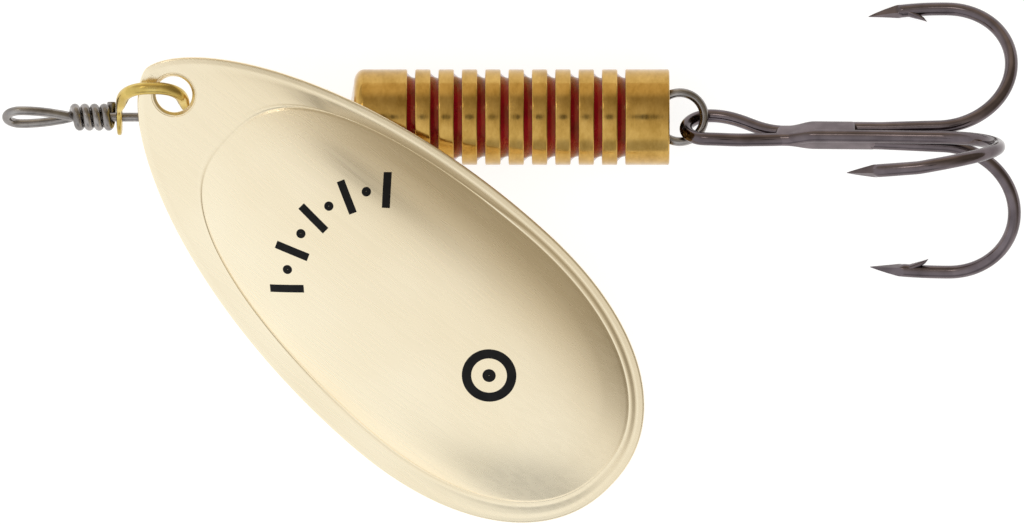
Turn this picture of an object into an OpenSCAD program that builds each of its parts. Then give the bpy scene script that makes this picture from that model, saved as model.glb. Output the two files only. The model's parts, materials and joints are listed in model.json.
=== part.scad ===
// Inline spinner: a fishing lure on one wire shaft. A stamped blade hangs on a small
// stirrup and turns round the shaft, ahead of a grooved brass body and a treble hook.
// The lure lies on its side: +X runs along the shaft from the line eye to the hook, +Z is
// up, and the body, the blade's rim and the hook rest on z = 0.

/* [Shaft wire] */
// Diameter of the shaft wire
shaft_d = 0.82; // [0.8:0.01:0.84]
// Length of the line eye, from its tip to the first wrap
eye_len = 6.1; // [5.9:0.1:6.2]
// Half the width between the limbs of the line eye
eye_half_w = 1.3; // [1.2:0.05:1.4]
// Number of wraps of the wire round itself behind the eye
wrap_turns = 4; // [3:1:4]
// Radius of the rear loop, at the middle of the wire
loop_r = 2.2; // [2.15:0.01:2.22]

/* [Clevis] */
// Diameter of the stirrup's wire at its crown
clevis_wire_d = 1.1; // [1:0.02:1.14]
// Half the width of the crown, at the middle of the wire
crown_r = 2.75; // [2.7:0.01:2.78]
// Height of the crown above the shaft, at the middle of the wire
crown_h = 5.8; // [5.76:0.01:5.9]
// Thickness of the flattened ears
ear_t = 0.54; // [0.4:0.01:0.56]

/* [Blade] */
// Length of the blade
blade_len = 56.4; // [55.5:0.1:56.6]
// Width of the blade at its widest
blade_w = 26.8; // [26:0.1:27]
// Thickness of the blade's sheet
blade_t = 0.56; // [0.4:0.01:0.56]
// Rise of the dome over the flat rim
dome_h = 3; // [1.5:0.1:3.2]
// Radius of the hanging hole
hang_r = 1.65; // [1.62:0.01:1.7]

/* [Body] */
// Diameter of the brass body
body_d = 8.6; // [8.4:0.1:8.6]
// Number of rings turned on the body
ring_count = 9; // [7:1:9]
// Distance from one ring to the next
ring_pitch = 2.094; // [2:0.001:2.1]
// Length of one ring
ring_len = 1.404; // [1.2:0.01:1.5]
// Depth of the grooves between the rings
groove_depth = 0.95; // [0.8:0.01:1]

/* [Treble hook] */
// Diameter of the hook wire
hook_wire_d = 1.18; // [1.1:0.02:1.18]
// Distance from the treble's axis to a hook's point limb
hook_reach = 13.55; // [13:0.05:13.8]
// Length of a shank, from the middle of the eye to the start of the bend
shank_len = 20.5; // [20:0.1:21]
// Length of a hook's point limb, from the bend to the tip
limb_len = 7.1; // [6:0.1:7.2]

/* [Hidden] */
$fn = 72;

shaft_r = shaft_d / 2;
bore_r = shaft_r + 0.06;               // running fit of everything that turns on the shaft
body_r = body_d / 2;

// Places along the shaft, measured from the tip of the line eye
clevis_x = 13.6;
bead_r = [1.7, 2.2, 2.7];
bead_gap = 0.27;
ear_x = crown_r + (clevis_wire_d - ear_t) / 2;   // the ears are flush with the wire outside
bead_start = clevis_x + ear_x + ear_t / 2 + bead_gap;
bead_x = [bead_start + bead_r[0],
          bead_start + 2 * bead_r[0] + bead_gap + bead_r[1],
          bead_start + 2 * (bead_r[0] + bead_r[1] + bead_gap) + bead_r[2]];
body_x = 31.15;
nose_corner = 0.9;                     // size of the rounded corner behind the nose's face
nose_end_x = 36.4;
groove_len = ring_pitch - ring_len;
body_end_x = 59.9;
socket_r = 2.75;                       // rear socket that hides the bends of the rear loop
socket_x = 56.2;
loop_x = 60.85;

// Place of the shaft's middle in the lure's own frame
mid_x = 45.708;
shaft_y = 13.097;
shaft_z = body_r + 0.01;

// Lean of the clevis, and place and lean of the blade as it lies on the body and the table
clevis_lean = -26;
hole_at = [15.54, 2.04, 4.1];
blade_roll = 15.03;
blade_pitch = -4.57;
blade_yaw = -43.25;
hole_in = 3.42;                        // from the nose's edge to the middle of the hole

// Place and lean of the treble, whose eye hangs through the rear loop
eye_at = [63.38, -0.92, 0.55];
treble_rise = 9.4;
treble_yaw = -0.6;
eye_aside = 0.59;                      // the eye stands this far to one side of the shanks
eye_roll = -58;
treble_eye_r = 2.0;
hook_r = hook_wire_d / 2;

// ---- Helpers -------------------------------------------------------------------------

function unit(v) = v / norm(v);

// Directions along a path of points
function tangents(p) = [for (i = [0 : len(p) - 1])
    unit(p[min(i + 1, len(p) - 1)] - p[max(i - 1, 0)])];

// One normal for each point, carried along the path without twist
function carried(n, t) = unit(n - (n * t) * t);
function normals(t, first) = [for (i = 0, n = carried(first, t[0]); i < len(t);
    i = i + 1, n = i < len(t) ? carried(n, t[i]) : n) n];

// A closed tube along a path, with its own radius at each point
module tube(path, radii, first = [0, 0, 1], sides = 12) {
    t = tangents(path);
    n = normals(t, first);
    count = len(path);
    points = [for (i = [0 : count - 1]) for (k = [0 : sides - 1])
        path[i] + radii[i] * (cos(360 * k / sides) * n[i]
                              + sin(360 * k / sides) * cross(t[i], n[i]))];
    walls = [for (i = [0 : count - 2]) for (k = [0 : sides - 1])
        let (a = i * sides + k, b = i * sides + (k + 1) % sides)
        [a, a + sides, b + sides, b]];
    caps = [[for (k = [0 : sides - 1]) k],
            [for (k = [sides - 1 : -1 : 0]) (count - 1) * sides + k]];
    polyhedron(points, concat(walls, caps), convexity = 8);
}

// A bead or a body is turned round the shaft's own axis
module on_shaft(x) {
    translate([x, 0, 0]) rotate([0, 90, 0]) children();
}

// From the shaft's frame to the lure's frame
module placed() {
    translate([-mid_x, shaft_y, shaft_z]) children();
}

// ---- Shaft wire ----------------------------------------------------------------------

eye_tip_r = eye_half_w;
eye_lean = 64;                         // the eye's plane leans this far up from the table
eye_neck_x = eye_len + 0.3;
eye_wire_x = eye_tip_r + shaft_r;      // middle of the round at the eye's tip
wrap_r = 2 * shaft_r + 0.015;          // the wraps lie on the shaft, a hair clear of it
wrap_pitch = shaft_d + 0.05;
wrap_x = eye_len + 0.46;               // where the first wrap crosses over the shaft
wrap_tail_h = 1.38;                    // height of the cut end above the shaft's axis

// The limbs draw in from the round tip to the neck
function limb_w(x) = eye_half_w * pow(cos(90 * (x - eye_wire_x) / (eye_neck_x - eye_wire_x)), 0.9);
function in_eye_plane(x, w) = [x, w * cos(eye_lean), w * sin(eye_lean)];

out_limb = [for (i = [0 : 10]) let (x = eye_neck_x + (eye_wire_x - eye_neck_x) * i / 10)
    in_eye_plane(x, limb_w(x))];
tip_round = [for (a = [105 : 15 : 255])
    in_eye_plane(eye_wire_x + eye_tip_r * cos(a), eye_tip_r * sin(a))];
back_limb = [for (i = [0 : 8]) let (x = eye_wire_x + (eye_neck_x - eye_wire_x) * i / 10)
    in_eye_plane(x, -limb_w(x)) - [0, 0, wrap_r * pow(i / 10, 2)]];
// The wraps start behind the shaft and climb over it as they go back
wraps = [for (i = [0 : wrap_turns * 18]) let (a = 20 * i - 90)
    [wrap_x + wrap_pitch * a / 360, wrap_r * cos(a), wrap_r * sin(a)]];
// The cut end stands straight up behind the shaft
wrap_end_x = wrap_x + wrap_pitch * (wrap_turns - 0.25);
wrap_tail = [for (h = [wrap_tail_h / 2, wrap_tail_h]) [wrap_end_x, h, -wrap_r]];

// The rear loop: a bend off the axis, then most of a circle, then a tail inside the body
loop_bend_x = loop_x - sqrt(3) * loop_r;
rear_bend = [for (a = [0 : 10 : 50]) [loop_bend_x + loop_r * sin(a), loop_r * (1 - cos(a)), 0]];
rear_loop = [for (a = [150 : -10 : -150]) [loop_x + loop_r * cos(a), loop_r * sin(a), 0]];
rear_tail = [[loop_bend_x + 0.6, -0.95, 0]];

module shaft_wire() {
    color([0.62, 0.58, 0.54]) placed() {
        front = concat([[eye_neck_x + 0.3, 0, 0]], out_limb, tip_round, back_limb, wraps, wrap_tail);
        rear = concat([[loop_bend_x - 0.3, 0, 0]], rear_bend, rear_loop, rear_tail);
        tube(front, [for (p = front) shaft_r * 0.985]);
        on_shaft(eye_neck_x + 0.3) cylinder(r = shaft_r, h = loop_bend_x - eye_neck_x - 0.6);
        tube(rear, [for (p = rear) shaft_r * 0.985]);
    }
}

// ---- Clevis --------------------------------------------------------------------------

ear_r = 1.65;
ear_neck_w = 1.3;
leg_bottom = 2.1;                      // the legs clear the wraps' cut end as they turn
crown_z = 2.7;
arch_power = 2.5;                      // a little squarer than an ellipse

// Middle of the crown's wire, from the front leg over the top to the rear leg
function arch(a) = [-crown_r * sign(cos(a)) * pow(abs(cos(a)), 2 / arch_power), 0,
                    crown_z + (crown_h - crown_z) * pow(sin(a), 2 / arch_power)];
crown = concat([[-crown_r, 0, leg_bottom]], [for (a = [0 : 9 : 180]) arch(a)],
               [[crown_r, 0, leg_bottom]]);

module clevis() {
    color([0.86, 0.68, 0.27]) placed() rotate([clevis_lean, 0, 0]) translate([clevis_x, 0, 0])
    difference() {
        union() {
            tube(crown, [for (p = crown) clevis_wire_d / 2], first = [0, 1, 0], sides = 20);
            for (side = [-1, 1])
                translate([side * ear_x - ear_t / 2, 0, 0]) rotate([90, 0, 90])
                    linear_extrude(ear_t) {
                        circle(ear_r);
                        translate([-ear_neck_w / 2, 0]) square([ear_neck_w, crown_z]);
                    }
        }
        on_shaft(-2 * crown_r) cylinder(r = bore_r, h = 4 * crown_r);
    }
}

// ---- Blade ---------------------------------------------------------------------------

blade_steps = 72;
blade_widest = 35.9;                   // from the nose to the widest place
tail_power = 2.2;
nose_power = 0.63;
dome_start = 9.7;
dome_end = blade_len - 1.6;
dome_w = blade_w - 3.6;
dome_nose_power = 0.36;                // the dome's nose is blunter than the blade's
dome_aside = 0.45;
flange_rise = 0.32;                    // the flange climbs this much from its edge to the crease
dome_power = 3.2;                      // the dome is flatter on top than a parabola
dome_rings = [0.94, 0.85, 0.7, 0.5, 0.25];

// Outline of a long oval from nose to tail, as a function of an angle round it
function oval_w(c, w, nose) =
    c > 0 ? w / 2 * pow(max(0, 1 - pow(c, tail_power)), 1 / tail_power)
          : w / 2 * pow(max(0, 1 - c * c), nose);
function oval_point(a, start, end, w, nose) = let (c = cos(a))
    [(c > 0 ? blade_widest + (end - blade_widest) * c
            : blade_widest + (blade_widest - start) * c) - hole_in,
     sign(sin(a)) * oval_w(c, w, nose)];
function dome_rise(q) = flange_rise + (dome_h - flange_rise) * (1 - pow(q, dome_power));

blade_outline = [for (i = [0 : blade_steps - 1])
    oval_point((i + 0.5) * 360 / blade_steps, 0, blade_len, blade_w, nose_power)];
dome_outline = [for (i = [0 : blade_steps - 1])
    oval_point((i + 0.5) * 360 / blade_steps, dome_start, dome_end, dome_w, dome_nose_power)
    + [0, dome_aside]];
dome_top = [blade_widest - hole_in - 1, dome_aside];

function blade_skin(z) = concat(
    [for (p = blade_outline) [p[0], p[1], z]],
    [for (p = dome_outline) [p[0], p[1], z + flange_rise]],
    [for (q = dome_rings) for (p = dome_outline)
        let (at = dome_top + q * (p - dome_top)) [at[0], at[1], z + dome_rise(q)]],
    [[dome_top[0], dome_top[1], z + dome_h]]);

module blade_sheet() {
    n = blade_steps;
    loops = 2 + len(dome_rings);
    tip = loops * n;                   // the dome's top point closes each skin
    skin_size = tip + 1;
    top = blade_skin(blade_t / 2);
    bottom = blade_skin(-blade_t / 2);
    top_faces = [for (r = [0 : loops - 2]) for (i = [0 : n - 1]) let (j = (i + 1) % n)
        each [[r * n + i, (r + 1) * n + i, (r + 1) * n + j], [r * n + i, (r + 1) * n + j, r * n + j]]];
    top_fan = [for (i = [0 : n - 1]) [(loops - 1) * n + i, tip, (loops - 1) * n + (i + 1) % n]];
    upper = concat(top_faces, top_fan);
    lower = [for (f = upper) [for (k = [2 : -1 : 0]) f[k] + skin_size]];
    rim = [for (i = [0 : n - 1]) let (j = (i + 1) % n)
        each [[i, j, j + skin_size], [i, j + skin_size, i + skin_size]]];
    polyhedron(concat(top, bottom), concat(upper, lower, rim), convexity = 6);
}

module blade() {
    color([0.93, 0.87, 0.73]) placed() translate(hole_at)
    rotate([blade_roll, blade_pitch, 0]) rotate([0, 0, blade_yaw])
    difference() {
        blade_sheet();
        translate([0, 0, -2]) cylinder(r = hang_r, h = 4);
    }
}

// ---- Beads and body ------------------------------------------------------------------

module bead(i) {
    color([0.78, 0.62, 0.3]) placed() on_shaft(bead_x[i])
    difference() {
        sphere(bead_r[i]);
        translate([0, 0, -bead_r[i] - 1]) cylinder(r = bore_r, h = 2 * bead_r[i] + 2);
    }
}

module bearing_bead_front() { bead(0); }
module bearing_bead_mid() { bead(1); }
module bearing_bead_rear() { bead(2); }

groove_r = body_r - groove_depth;
nose_face_r = body_r - 1.2;
function groove_x(i) = nose_end_x + i * ring_pitch;

// Profile of the body as [radius, place along the shaft]
nose_profile = concat([[bore_r, body_x], [nose_face_r, body_x + 0.45]],
    [for (a = [15 : 15 : 90])
        [nose_face_r + (body_r - nose_face_r) * sin(a), body_x + 0.45 + nose_corner * (1 - cos(a))]]);
groove_profile = [for (i = [0 : ring_count]) each [
    [body_r, groove_x(i)], [groove_r, groove_x(i)],
    [groove_r, groove_x(i) + groove_len], [body_r, groove_x(i) + groove_len]]];
rear_profile = [[body_r, body_end_x - 0.15], [body_r - 0.15, body_end_x],
                [socket_r, body_end_x], [socket_r, socket_x], [bore_r, socket_x]];

module lure_body() {
    color([0.72, 0.56, 0.28]) placed() on_shaft(0)
    rotate_extrude() polygon(concat(nose_profile, groove_profile, rear_profile));
}

// The enamel's surface slopes down towards the rear of each groove
enamel_front = 0.32;
enamel_rear = 0.77;

module groove_enamel() {
    color([0.45, 0.03, 0.06]) placed() on_shaft(0)
    for (i = [0 : ring_count])
        rotate_extrude() polygon([
            [groove_r, groove_x(i)], [body_r - enamel_front, groove_x(i)],
            [body_r - enamel_rear, groove_x(i) + groove_len], [groove_r, groove_x(i) + groove_len]]);
}

// ---- Treble hook ---------------------------------------------------------------------

upper_tip_in = 0.9;                    // the points turn in towards the shank
lower_tip_in = 0.45;
front_tip_in = 0.9;
tip_len = 3.1;
barb_len = 1.6;
barb_sink = 0.25;                      // depth of the barb's foot in the wire
barb_stand = 0.8;                      // how far the barb's tip stands off the foot
barb_back = 3.9;                       // from the tip to the foot of the barb
// Where each shank starts, and how much further back than the others its bend is brazed
upper_start = 9;
lower_start = 10;
upper_set = 0.06;
lower_set = 0.57;
front_set = 0.5;
front_short = 0.5;                     // the front point limb is this much shorter
front_aside = 1.57;                      // the front point is bent this far sideways
bend_share = 0.765;                    // of that turn's run, the part that lies in the bend
splay = 1.3;                           // the shanks spread by this factor behind the braze
eye_neck = 6.5;                        // where the eye's limbs have come over to the shanks
shank_from = 9.5;                      // where the front shank runs straight
tucked_end = 7.9;                      // end of the eye's wire, ahead of the braze
limb_gap = 0.6;                        // half the distance between the limbs where they meet
limb_end_x = 7.4;                      // where the eye's limbs meet
limb_turn = 2 * atan((treble_eye_r - limb_gap) / limb_end_x);

module treble_placed() {
    placed() translate(eye_at) rotate([0, -treble_rise, treble_yaw])
        translate([0, -eye_aside, 0]) children();
}

// Direction away from the treble's axis, for a hook turned by an angle from straight up
function away(angle) = [0, sin(angle), cos(angle)];

// Bend and point limb of a hook that leaves its shank at a place and reaches out
bend_angles = [10 : 10 : 170];
limb_parts = [0 : 0.125 : 1];
function hook_curve(from, out, tip_in, limb, aside = 0) = let (
        r = (hook_reach - from * out) / 2, side = aside * cross([1, 0, 0], out)) concat(
    [for (a = bend_angles) from + [r * sin(a), 0, 0] + r * (1 - cos(a)) * out
        + pow(bend_share * max(0, a - 90) / 90, 2) * side],
    [for (q = limb_parts) from + [-limb * q, 0, 0]
        + (2 * r - tip_in * pow(q, 2.2)) * out
        + pow(bend_share + (1 - bend_share) * q, 2) * side]);
function hook_radii(shank) = concat([for (p = shank) hook_r], [for (a = bend_angles) hook_r],
    [for (q = limb_parts) hook_r * min(1, 0.06 + (limb_len * (1 - q)) / tip_len)]);

// The cut barb is a small splinter that stands up inside the point
module barb(from, out, tip_in, limb, aside = 0) {
    q = 1 - barb_back / limb;
    foot = from + [barb_back - limb, 0, 0]
        + (hook_reach - from * out - tip_in * pow(q, 2.2) - hook_r + barb_sink) * out
        + aside * pow(bend_share + (1 - bend_share) * q, 2) * cross([1, 0, 0], out);
    barb_path = [foot + [-0.7, 0, 0] + 0.1 * out, foot + [0.4, 0, 0],
                 foot + [barb_len, 0, 0] - barb_stand * out];
    tube(barb_path, [0.1, 0.4, 0.05], first = [0, 1, 0.3], sides = 6);
}

module plain_hook(shank_start, set, shank_at, angle, tip_in) {
    from = [shank_len + set, 0, 0] + splay * shank_at;
    shank = [for (x = [shank_start, braze_end]) [x, 0, 0] + shank_at];
    tube(concat(shank, [from], hook_curve(from, away(angle), tip_in, limb_len)),
         hook_radii(concat(shank, [from])), first = [0, 0.3, 1]);
    barb(from, away(angle), tip_in, limb_len);
}

upper_angle = 122;
lower_angle = -116;
front_angle = -8.7;
shank_off = 0.74;                      // distance of a shank from the treble's axis
upper_shank = shank_off * away(upper_angle);
lower_shank = shank_off * away(lower_angle);
front_shank = [0, -0.1, 0.8];

function eye_over(x) = front_shank[1]
    + (eye_aside - front_shank[1]) * (1 + cos(180 * min(1, max(0, x / eye_neck)))) / 2;
function in_treble_eye(x, w) = [x, w * cos(eye_roll) + eye_over(x), w * sin(eye_roll)];
limb_arc_r = limb_end_x / (2 * sin(limb_turn));
function limb_arc(x) = x < limb_end_x / 2
    ? treble_eye_r - limb_arc_r + sqrt(pow(limb_arc_r, 2) - x * x)
    : limb_gap + limb_arc_r - sqrt(pow(limb_arc_r, 2) - pow(limb_end_x - x, 2));
limb_steps = [for (q = [0 : 8]) limb_end_x * q / 8];
tucked_limb = concat([in_treble_eye(tucked_end, limb_gap)],
    [for (q = [8 : -1 : 0]) in_treble_eye(limb_steps[q], limb_arc(limb_steps[q]))]);
eye_round = [for (a = [105 : 15 : 255])
    in_treble_eye(treble_eye_r * cos(a), treble_eye_r * sin(a))];
shank_limb = [for (x = limb_steps) in_treble_eye(x, -limb_arc(x))];

module treble_eyed_hook() {
    color([0.33, 0.3, 0.3]) treble_placed() {
        from = [shank_len + front_set, 0, 0] + splay * front_shank;
        shank = concat(tucked_limb, eye_round, shank_limb,
            [[shank_from, 0, 0] + front_shank, [braze_end, 0, 0] + front_shank, from]);
        limb = limb_len - front_short;
        curve = hook_curve(from, away(front_angle), front_tip_in, limb, front_aside);
        tube(concat(shank, curve), hook_radii(shank), first = [0, 0.3, 1]);
        barb(from, away(front_angle), front_tip_in, limb, front_aside);
    }
}

module treble_upper_hook() {
    color([0.33, 0.3, 0.3]) treble_placed()
        plain_hook(upper_start, upper_set, upper_shank, upper_angle, upper_tip_in);
}

module treble_lower_hook() {
    color([0.33, 0.3, 0.3]) treble_placed()
        plain_hook(lower_start, lower_set, lower_shank, lower_angle, lower_tip_in);
}

// The braze fills the space between the shanks, and is cut away where the wires run
braze_start = 8;
braze_end = 15.5;

module treble_braze() {
    color([0.36, 0.33, 0.33]) treble_placed()
    difference() {
        translate([braze_start, 0, 0]) rotate([0, 90, 0])
            cylinder(r = 0.95, h = braze_end - braze_start);
        for (shank = [upper_shank, lower_shank])
            translate([0, shank[1], shank[2]]) rotate([0, 90, 0])
                cylinder(r = hook_r + 0.02, h = 30);
        tube([in_treble_eye(limb_end_x, -limb_gap), [shank_from, 0, 0] + front_shank,
              [30, 0, 0] + front_shank],
             [for (i = [1 : 3]) hook_r + 0.03], first = [0, 0.3, 1], sides = 16);
    }
}

shaft_wire();
clevis();
blade();
bearing_bead_front();
bearing_bead_mid();
bearing_bead_rear();
lure_body();
groove_enamel();
treble_eyed_hook();
treble_upper_hook();
treble_lower_hook();
treble_braze();
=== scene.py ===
"""Looks of the inline spinner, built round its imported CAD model.

Shapes are worked out in millimetres in the shaft's own frame: x runs back from the tip of the
line eye, and y = z = 0 is the shaft's axis. add_piece() puts them in the lure's frame, in metres.
"""

import json
from math import acos, asin, cos, pi, radians, sin, sqrt

import bmesh
import bpy
import numpy as np
from mathutils import Matrix, Vector

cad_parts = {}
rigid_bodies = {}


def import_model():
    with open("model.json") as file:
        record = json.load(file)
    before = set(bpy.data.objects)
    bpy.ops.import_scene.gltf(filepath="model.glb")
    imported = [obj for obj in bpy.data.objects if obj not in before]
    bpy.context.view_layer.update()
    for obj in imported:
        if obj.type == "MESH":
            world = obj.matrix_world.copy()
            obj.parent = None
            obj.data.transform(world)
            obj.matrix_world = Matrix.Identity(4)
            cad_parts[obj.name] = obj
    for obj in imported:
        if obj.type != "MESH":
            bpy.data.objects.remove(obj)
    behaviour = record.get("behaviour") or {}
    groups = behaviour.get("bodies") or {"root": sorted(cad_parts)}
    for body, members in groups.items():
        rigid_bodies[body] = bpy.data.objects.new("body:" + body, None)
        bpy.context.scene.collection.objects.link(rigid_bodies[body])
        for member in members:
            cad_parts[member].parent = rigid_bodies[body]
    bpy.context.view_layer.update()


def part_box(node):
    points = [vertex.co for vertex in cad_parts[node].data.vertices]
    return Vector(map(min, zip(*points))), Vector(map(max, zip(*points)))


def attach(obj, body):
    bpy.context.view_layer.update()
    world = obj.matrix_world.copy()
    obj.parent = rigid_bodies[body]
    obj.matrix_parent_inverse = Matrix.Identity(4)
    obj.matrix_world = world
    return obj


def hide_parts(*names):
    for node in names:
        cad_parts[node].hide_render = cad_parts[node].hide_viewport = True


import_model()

MM = 0.001
BODY_END_X = 59.9
body_low, body_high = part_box("lure_body")
ORIGIN = np.array([body_high.x - BODY_END_X * MM,
                   (body_low.y + body_high.y) / 2, (body_low.z + body_high.z) / 2])

# ---- Driving dimensions, in mm ---------------------------------------------------------

WIRE_R = 0.405
BORE_R = 0.47

EYE_TIP_R = 1.3
EYE_LEAN = radians(64)
EYE_NECK_X = 6.4
WRAP_R = 0.835
WRAP_X = 6.56
WRAP_PITCH = 0.87
WRAP_TURNS = 4
WRAP_TAIL_H = 1.38

LOOP_X = 60.85
LOOP_R = 2.2

CLEVIS_X = 13.6
CLEVIS_LEAN = radians(-26)
CROWN_R = 2.75
CROWN_Z = 2.7
CROWN_RISE = 3.1
ARCH_POWER = 2.5
EAR_R = 1.63
EAR_X = 3.03
EAR_HALF_T = 0.265
EAR_TOP, EAR_FLARE = 2.0, 1.4          # the flat ear turns into round wire above this height
EAR_NECK = 0.62                        # half width of the ear where it leaves its disc
CLEVIS_WIRE_R = 0.55

HOLE_AT = (15.54, 2.04, 4.1)
BLADE_ROLL, BLADE_PITCH, BLADE_YAW = radians(15.03), radians(-4.57), radians(-43.25)
BLADE_LEN, BLADE_W, BLADE_T = 56.4, 26.8, 0.56
BLADE_WIDEST = 35.9
HOLE_IN = 3.42
HANG_R = 1.65
DOME_START, DOME_END, DOME_W, DOME_H = 9.7, 54.8, 23.2, 3.0
DOME_POWER, DOME_ASIDE = 3.2, 0.45
BLADE_NOSE, DOME_NOSE = 0.63, 0.36     # powers of the noses; the dome's is blunter

BODY_R = 4.3
BODY_X = 31.15
NOSE_END_X = 36.4
NOSE_FACE_X, NOSE_DEPTH, NOSE_ROUND = 0.45, 0.9, 1.2
RING_PITCH, RING_LEN, RING_COUNT = 2.094, 1.404, 9
GROOVE_LEN = RING_PITCH - RING_LEN
GROOVE_R = BODY_R - 0.95
RING_EDGE_R = 0.14
ENAMEL_FRONT_R, ENAMEL_REAR_R, ENAMEL_SAG = BODY_R - 0.32, BODY_R - 0.77, 0.1
SOCKET_R, SOCKET_X = 2.75, 56.2

HOOK_R = 0.59
HOOK_REACH = 13.55
SHANK_LEN = 20.5
LIMB_LEN = 7.1
EYE_AT = (63.38, -0.92, 0.55)
TREBLE_RISE, TREBLE_YAW, EYE_ROLL = radians(9.4), radians(-0.6), radians(-58)
EYE_ASIDE = 0.59
EYE_NECK = 6.5
SHANK_FROM = 9.5
SPLAY = 1.3
BRAZE_END = 15.5
BEND_SHARE = 0.765
TREBLE_EYE_R = 2.0
LIMB_END_X, TUCKED_END_X = 7.4, 7.9
LIMB_GAP = 0.6
TIP_IN, LOWER_TIP_IN = 0.9, 0.45       # how far a point leans in towards the shanks
BARB_BACK, BARB_SINK = 3.9, 0.12
SPEAR_LEN, SPEAR_GROWS, DIAMOND_SIZE = 3.1, 0.5, 1.13
FRONT_SET, FRONT_ASIDE = 0.5, 1.57     # the front hook bends later, and a little to one side
UPPER_START, UPPER_SET = 9, 0.06
LOWER_START, LOWER_SET = 10, 0.57
WEB_START, WEB_END = 6.1, 14.5
WEB_SWAP_X, WEB_SWAP_LEN = 7.2, 2.4    # where the web leaves the eye's limbs for the shanks

# ---- Mesh helpers ----------------------------------------------------------------------


def turn(axis, angle):
    return np.array(Matrix.Rotation(angle, 3, axis))


def unit(v):
    return v / np.linalg.norm(v, axis=-1, keepdims=True)


def resampled(points, step, smoothing=0):
    """The same line with evenly spaced points, its corners eased."""
    p = np.asarray(points, float)
    for final in (False, True):
        run = np.r_[0, np.cumsum(np.linalg.norm(np.diff(p, axis=0), axis=1))]
        at = np.linspace(0, run[-1], int(run[-1] / step) + 1)
        p = np.stack([np.interp(at, run, p[:, k]) for k in range(3)], 1)
        if not final:
            for _ in range(smoothing):
                p[1:-1] = 0.25 * p[:-2] + 0.5 * p[1:-1] + 0.25 * p[2:]
    return p


def swept(path, section, first=(0, 0, 1)):
    """A closed tube: section(i) gives the points (a, b) of ring i across the path."""
    path = np.asarray(path, float)
    tangents = unit(np.gradient(path, axis=0))
    n = np.array(first, float)
    verts, sides = [], 0
    for i, (p, t) in enumerate(zip(path, tangents)):
        n = unit(n - n.dot(t) * t)
        b = np.cross(t, n)
        ring = np.asarray(section(i))
        sides = len(ring)
        verts.extend(p + ring[:, :1] * n + ring[:, 1:] * b)
    faces = [(i * sides + k, (i + 1) * sides + k, (i + 1) * sides + (k + 1) % sides,
              i * sides + (k + 1) % sides)
             for i in range(len(path) - 1) for k in range(sides)]
    last = (len(path) - 1) * sides
    faces.append(tuple(range(sides)))
    faces.append(tuple(last + k for k in reversed(range(sides))))
    return np.array(verts), faces


def ringed(verts, sides):
    """A closed shape from rings of points, one ring after the other, with flat ends."""
    rings = len(verts) // sides
    faces = [(i * sides + k, i * sides + (k + 1) % sides,
              (i + 1) * sides + (k + 1) % sides, (i + 1) * sides + k)
             for i in range(rings - 1) for k in range(sides)]
    faces.append(tuple(range(sides)))
    faces.append(tuple((rings - 1) * sides + k for k in reversed(range(sides))))
    return np.array(verts), faces


def round_wire(path, radii, sides=28, first=(0, 0, 1)):
    angles = np.linspace(0, 2 * pi, sides, endpoint=False)
    circle = np.stack([np.cos(angles), np.sin(angles)], 1)
    return swept(path, lambda i: radii[i] * circle, first)


def filleted(profile, radii, steps=5):
    """A closed (x, r) outline with the corners that have a radius rounded."""
    out = []
    count = len(profile)
    for i in range(count):
        p = np.array(profile[i], float)
        if not radii[i]:
            out.append(p)
            continue
        a, b = np.array(profile[i - 1], float) - p, np.array(profile[(i + 1) % count], float) - p
        la, lb = np.linalg.norm(a), np.linalg.norm(b)
        ua, ub = a / la, b / lb
        half = acos(np.clip(ua.dot(ub), -1, 1)) / 2
        reach = min(radii[i] / np.tan(half), 0.45 * la, 0.45 * lb)
        r = reach * np.tan(half)
        middle = p + unit(ua + ub) * r / sin(half)
        start, end = p + ua * reach - middle, p + ub * reach - middle
        spread = acos(np.clip(unit(start).dot(unit(end)), -1, 1))
        for k in range(steps + 1):
            f = k / steps
            out.append(middle + (sin((1 - f) * spread) * start + sin(f * spread) * end) / sin(spread))
    return out


def lathed(outline, segments=160):
    """A closed (x, r) outline turned round the shaft's axis."""
    count = len(outline)
    verts = [(x, r * cos(2 * pi * s / segments), r * sin(2 * pi * s / segments))
             for s in range(segments) for x, r in outline]
    faces = [(s * count + i, s * count + (i + 1) % count,
              (s + 1) % segments * count + (i + 1) % count, (s + 1) % segments * count + i)
             for s in range(segments) for i in range(count)]
    return np.array(verts), faces


def joined(*parts):
    verts, faces = [], []
    for v, f in parts:
        start = len(verts)
        verts.extend(v)
        faces.extend(tuple(k + start for k in face) for face in f)
    return np.array(verts), faces


def mesh_of(name, shape):
    verts, faces = shape
    mesh = bpy.data.meshes.new(name)
    mesh.from_pydata([tuple(v) for v in np.asarray(verts, float)], [], faces)
    bm = bmesh.new()
    bm.from_mesh(mesh)
    bmesh.ops.recalc_face_normals(bm, faces=bm.faces)
    bm.to_mesh(mesh)
    bm.free()
    return mesh


def add_piece(name, mesh, material, body, node=None, sharp=35):
    """Puts a mesh in millimetres where it belongs, and hides the CAD part that it stands in for."""
    count = len(mesh.vertices)
    co = np.empty(count * 3)
    mesh.vertices.foreach_get("co", co)
    co = co.reshape(-1, 3) * MM + ORIGIN
    mesh.vertices.foreach_set("co", co.ravel())
    mesh.polygons.foreach_set("use_smooth", [True] * len(mesh.polygons))
    mesh.set_sharp_from_angle(angle=radians(sharp))
    mesh.update()
    mesh.materials.clear()
    mesh.materials.append(material)
    mesh.polygons.foreach_set("material_index", [0] * len(mesh.polygons))
    piece = bpy.data.objects.new(name, mesh)
    bpy.context.scene.collection.objects.link(piece)
    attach(piece, body)
    if node:
        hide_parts(node)
    return piece


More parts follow.
